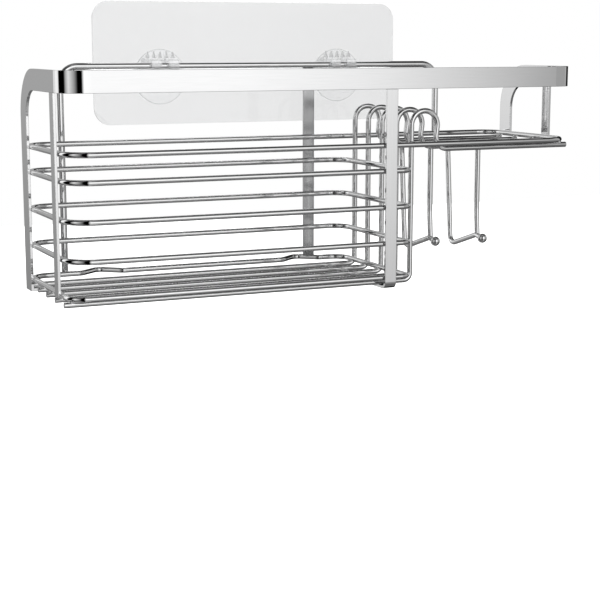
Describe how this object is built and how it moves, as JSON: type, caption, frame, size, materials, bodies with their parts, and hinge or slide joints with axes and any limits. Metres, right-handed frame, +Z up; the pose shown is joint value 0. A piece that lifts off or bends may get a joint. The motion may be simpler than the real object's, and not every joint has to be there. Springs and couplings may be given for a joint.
{
  "type": "shower caddy",
  "caption": "Wall-hung wire shower caddy: deep basket, raised soap shelf at its right with hook arches and razor hooks, hung by its bar on a clear adhesive panel with J clips.",
  "frame": {"origin": "centre of the adhesive sheet's back face, which lies on the wall", "axes": "+Z up, +Y into the wall, +X along the wall to the right as seen from the room; the caddy stands out towards -Y"},
  "size_m": [0.402, 0.132, 0.2085],
  "materials": {
    "polished_wire": "mirror-polished round stainless wire",
    "polished_strip": "polished flat stainless strip with a faint grain",
    "clear_panel": "clear glossy plastic sheet",
    "clear_adhesive": "clear adhesive film",
    "clear_clip": "clear glossy moulding"
  },
  "bodies": {
    "wall_panel": {"adhesive_sheet": "clear_adhesive", "clear_panel": "clear_panel", "left_wall_clip": "clear_clip", "right_wall_clip": "clear_clip"},
    "basket": {"rim_ring": "polished_wire", "upper_ring": "polished_wire", "middle_ring": "polished_wire", "lower_ring": "polished_wire", "base_ring": "polished_wire", "grid_wire_1": "polished_wire", "grid_wire_2": "polished_wire", "grid_wire_3": "polished_wire", "grid_wire_4": "polished_wire", "grid_wire_5": "polished_wire", "hanger_wire": "polished_wire", "guard_band": "polished_strip", "left_strut": "polished_strip", "right_strut": "polished_strip", "front_strap": "polished_strip", "rear_strap": "polished_strip", "left_razor_hook": "polished_wire", "left_hook_leg": "polished_wire", "left_hook_ball": "polished_wire", "right_razor_hook": "polished_wire", "right_hook_leg": "polished_wire", "right_hook_ball": "polished_wire"}
  },
  "joints": [
    {"name": "lift_off", "type": "slide", "parent": "wall_panel", "child": "basket", "axis": [0, 0, 1], "range_m": [0, 0.025]}
  ]
}
